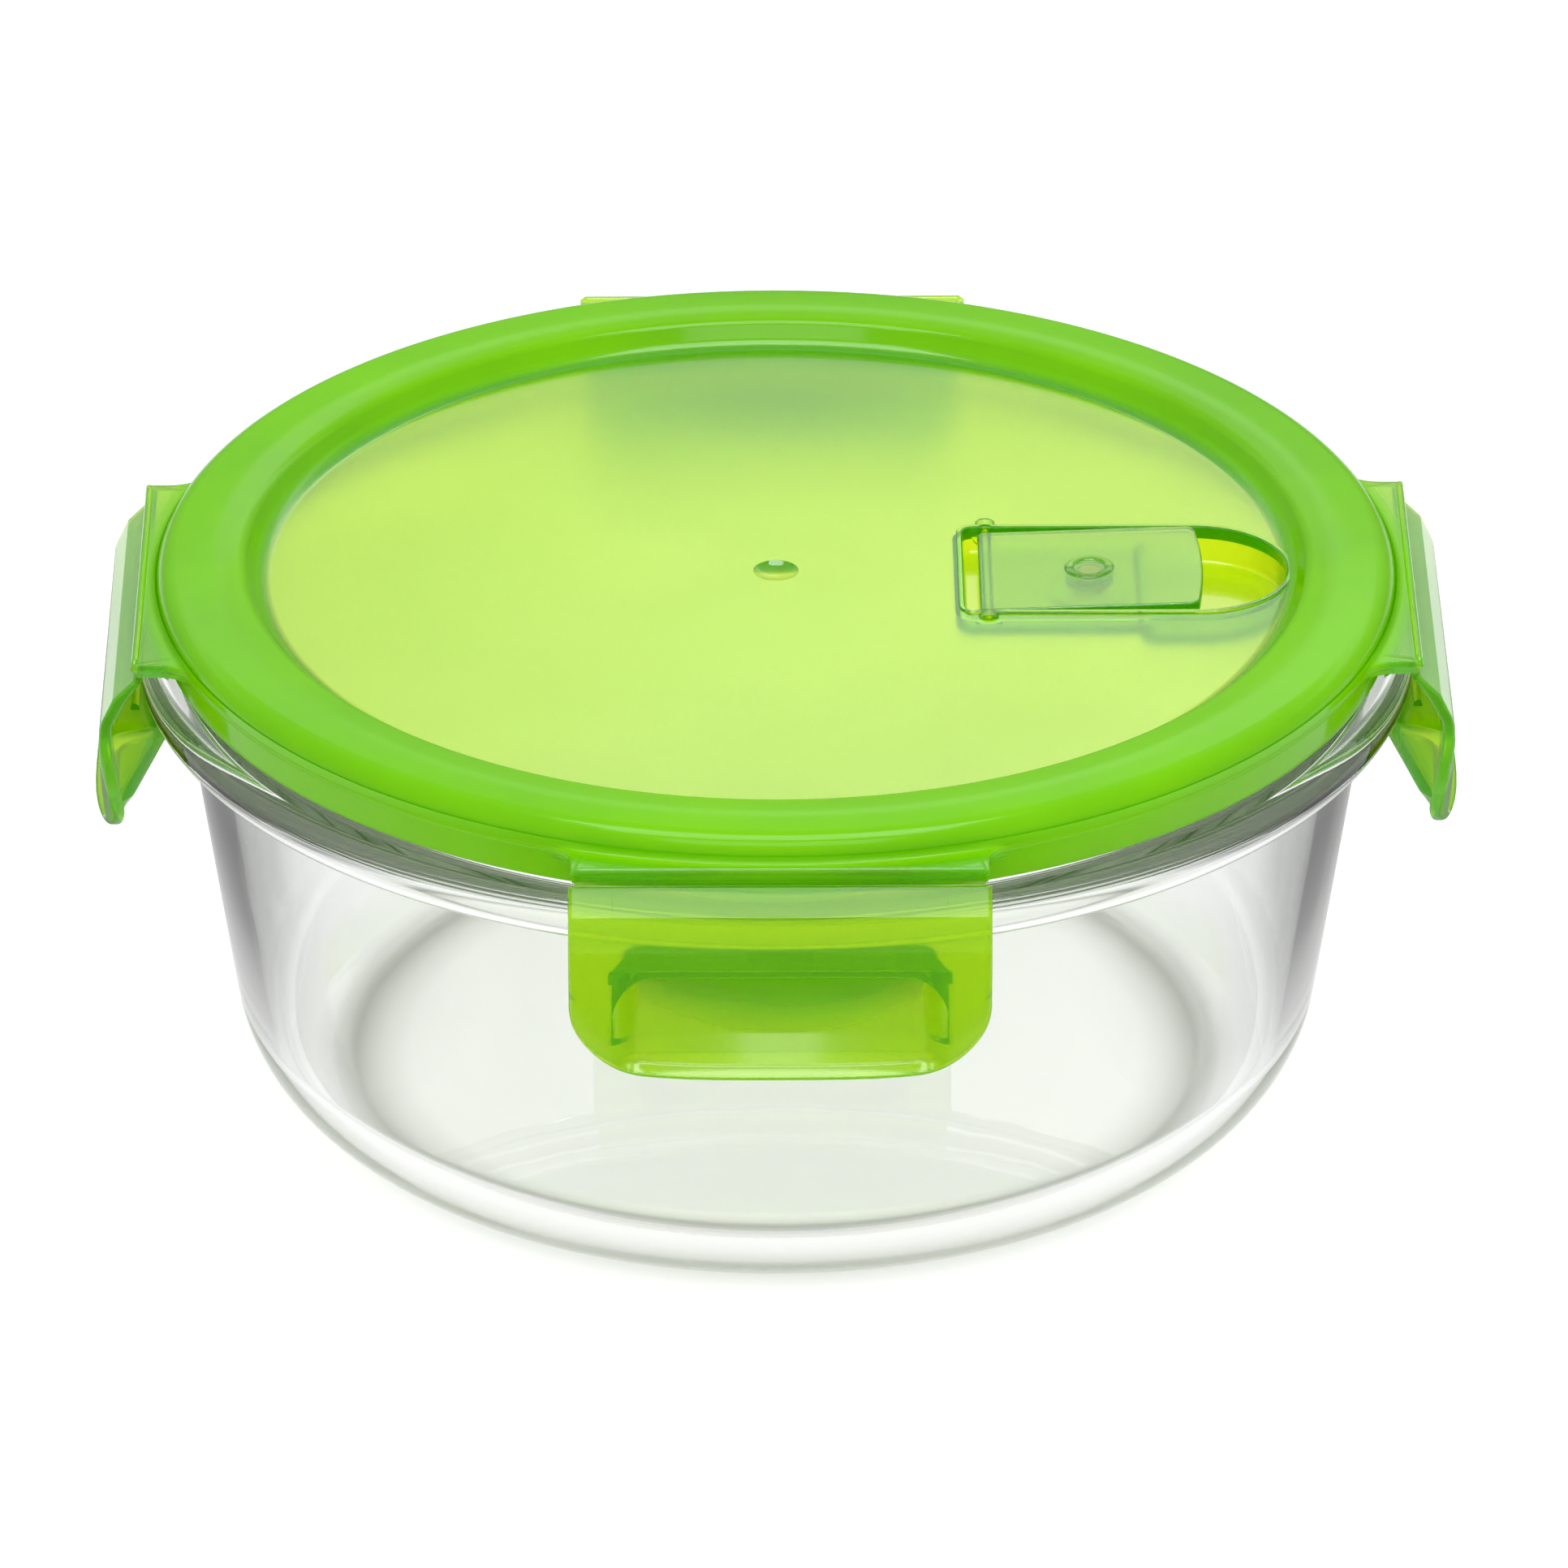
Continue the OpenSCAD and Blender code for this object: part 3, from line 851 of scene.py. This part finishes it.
def along_tab(section, columns):
    """Loops of a section in u and v, repeated at places along the tab's edge."""
    return [[(TAB_REACH + p.x, t, TOP_Z - p.y) for p in section(t)] for t in columns]


def make_latch(side):
    """One latch with the two ribs on the roof of its scoop."""
    latch = loft("latch_" + side, along_tab(latch_section, latch_columns()), closed=False, caps=True)
    rib = rounded([(0, 13.5), (-0.42, 13.4, 0.05), (-0.36, 12.5, 0.15), (0.15, 12.1, 0.15), (0.55, 12.1, 0.1),
                   (0.9, 13.4, 0.05), (0.8, 13.5)], 3)
    ribs = [loft("rib", along_tab(lambda t: rib, (first, first + 10.8)), closed=False, caps=True)
            for first in (-15.1, 4.3)]
    combine(latch, ribs, "UNION")
    latch.data.transform(on_side(side))
    finish_mesh(latch, GREEN, 40)
    hand_over(latch, "latch_" + side, "green_plastic", "latch_" + side)


def make_web(side):
    """Film hinge: a thin web that curls from the tab's lower edge to the latch's knuckle."""
    outer = rounded([(-1.2, 1.85), (-1.2, 2.75, 0.4), (-0.6, 2.75)], 5)
    inner = rounded([(-0.6, 3.1), (-1.55, 3.1, 0.7), (-1.55, 1.85)], 5)
    columns = [26.9 * k / 12 for k in range(-12, 13)]
    web = loft("film_hinge_web_" + side, along_tab(lambda t: outer + inner, columns), closed=False, caps=True,
               place=on_side(side))
    finish_mesh(web, GREEN, 50)
    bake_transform(web)
    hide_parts("film_hinge_" + side)


for side in SIDES:
    make_latch(side)
    make_web(side)

# ---------------------------------------------------------------- vent flap and plug

FLAP_TILT = Matrix.Translation(PIVOT * MM) @ Matrix.Rotation(math.radians(-2), 4, "Y")
FLAP_HALF = POCKET_W / 2 - 0.7
FLAP_TAIL = 1.1
FLAP_END = 29.5
FLAP_TOP = 1.2
FLAP_LOW = -0.5
FLAP_BOW = 80
STEAM_REACH = STEAM_X - PIVOT.x
SEAT_R = 3.2
STEM_R = 1.5


def flap_loop(inset, z):
    """Loop round the flap, whose free end is bowed on a large radius."""
    half, end = FLAP_HALF - inset, FLAP_END - inset
    side_x = end - half ** 2 / (2 * FLAP_BOW)
    tail = inset - FLAP_TAIL
    near = rounded([(10, half), (tail, half, 0.7 - inset), (tail, -half, 0.7 - inset), (10, -half)], 4)
    bow = [(end - y ** 2 / (2 * FLAP_BOW), y) for y in [(half - 2) * k / 8 for k in range(-8, 9)]]
    far = rounded([(10, -half), (side_x, -half, 1.4 - inset), bow[0]], 4)[1:-1]
    far += [Vector(p) for p in bow]
    far += rounded([bow[-1], (side_x, half, 1.4 - inset), (10, half)], 4)[1:-1]
    return [(p.x, p.y, z) for p in near + far]


def moved(piece, place):
    """The piece, with its mesh moved to a place."""
    piece.data.transform(place)
    return piece


def make_flap():
    """Flap with a ring over the plug, the plug's seat and hole, and two stub pins."""
    rim = 0.35
    turns = [math.radians(a) for a in (0, 30, 60, 90)]
    levels = [(rim - rim * math.sin(a), rim * (1 - math.cos(a))) for a in turns]
    low = [(inset, FLAP_LOW + rise) for inset, rise in levels]
    top = [(inset, FLAP_TOP - rise) for inset, rise in reversed(levels)]
    flap = loft("vent_flap", [flap_loop(inset, z) for inset, z in low + top], closed=False, caps=True)
    here = Matrix.Translation(Vector((STEAM_REACH, 0, 0)) * MM)
    ring = [Vector((2.75 + 0.7 * math.cos(a), FLAP_TOP - 0.1 + 0.35 * math.sin(a)))
            for a in [2 * math.pi * k / 20 for k in range(20)]]
    seat = rounded([(0, -1.4), (SEAT_R, -1.4, 0.2), (SEAT_R, 0.1), (0, 0.1)], 3)
    combine(flap, [moved(revolve("ring", ring, 48), here), moved(revolve("seat", seat, 48), here),
                   hinge_line(Vector((0, 0, 0)), POCKET_W / 2 + 0.9, PIN_R)], "UNION")
    hole = cylinder_between((STEAM_REACH, 0, -2), (STEAM_REACH, 0, FLAP_TOP - 0.6), STEM_R + 0.05)
    combine(flap, [hole], "DIFFERENCE")
    flap.data.transform(FLAP_TILT)
    finish_mesh(flap, GREEN, 35)
    hand_over(flap, "vent", "green_plastic", "vent_flap")


def make_plug():
    """Silicone plug: its stem is held in the flap and its nose closes the steam hole."""
    nose = SHELF_Z - PIVOT.z - 1.4
    head = FLAP_TOP - 0.65
    outline = rounded([(0, head), (STEM_R, head, 0.2), (STEM_R, -1.42), (SEAT_R, -1.42, 0.15),
                       (SEAT_R, -2, 0.15), (1.9, -2.05), (1.5, nose, 0.4), (0, nose)], 4)
    plug = revolve("vent_plug", outline, 64)
    plug.data.transform(FLAP_TILT @ Matrix.Translation(Vector((STEAM_REACH, 0, 0)) * MM))
    finish_mesh(plug, SILICONE, 45)
    hand_over(plug, "vent", "silicone", "vent_plug")


make_flap()
make_plug()

# ---------------------------------------------------------------- view and light bounces

scene.view_settings.view_transform = "Standard"
scene.cycles.max_bounces = 32
scene.cycles.glossy_bounces = 24
scene.cycles.transmission_bounces = 32
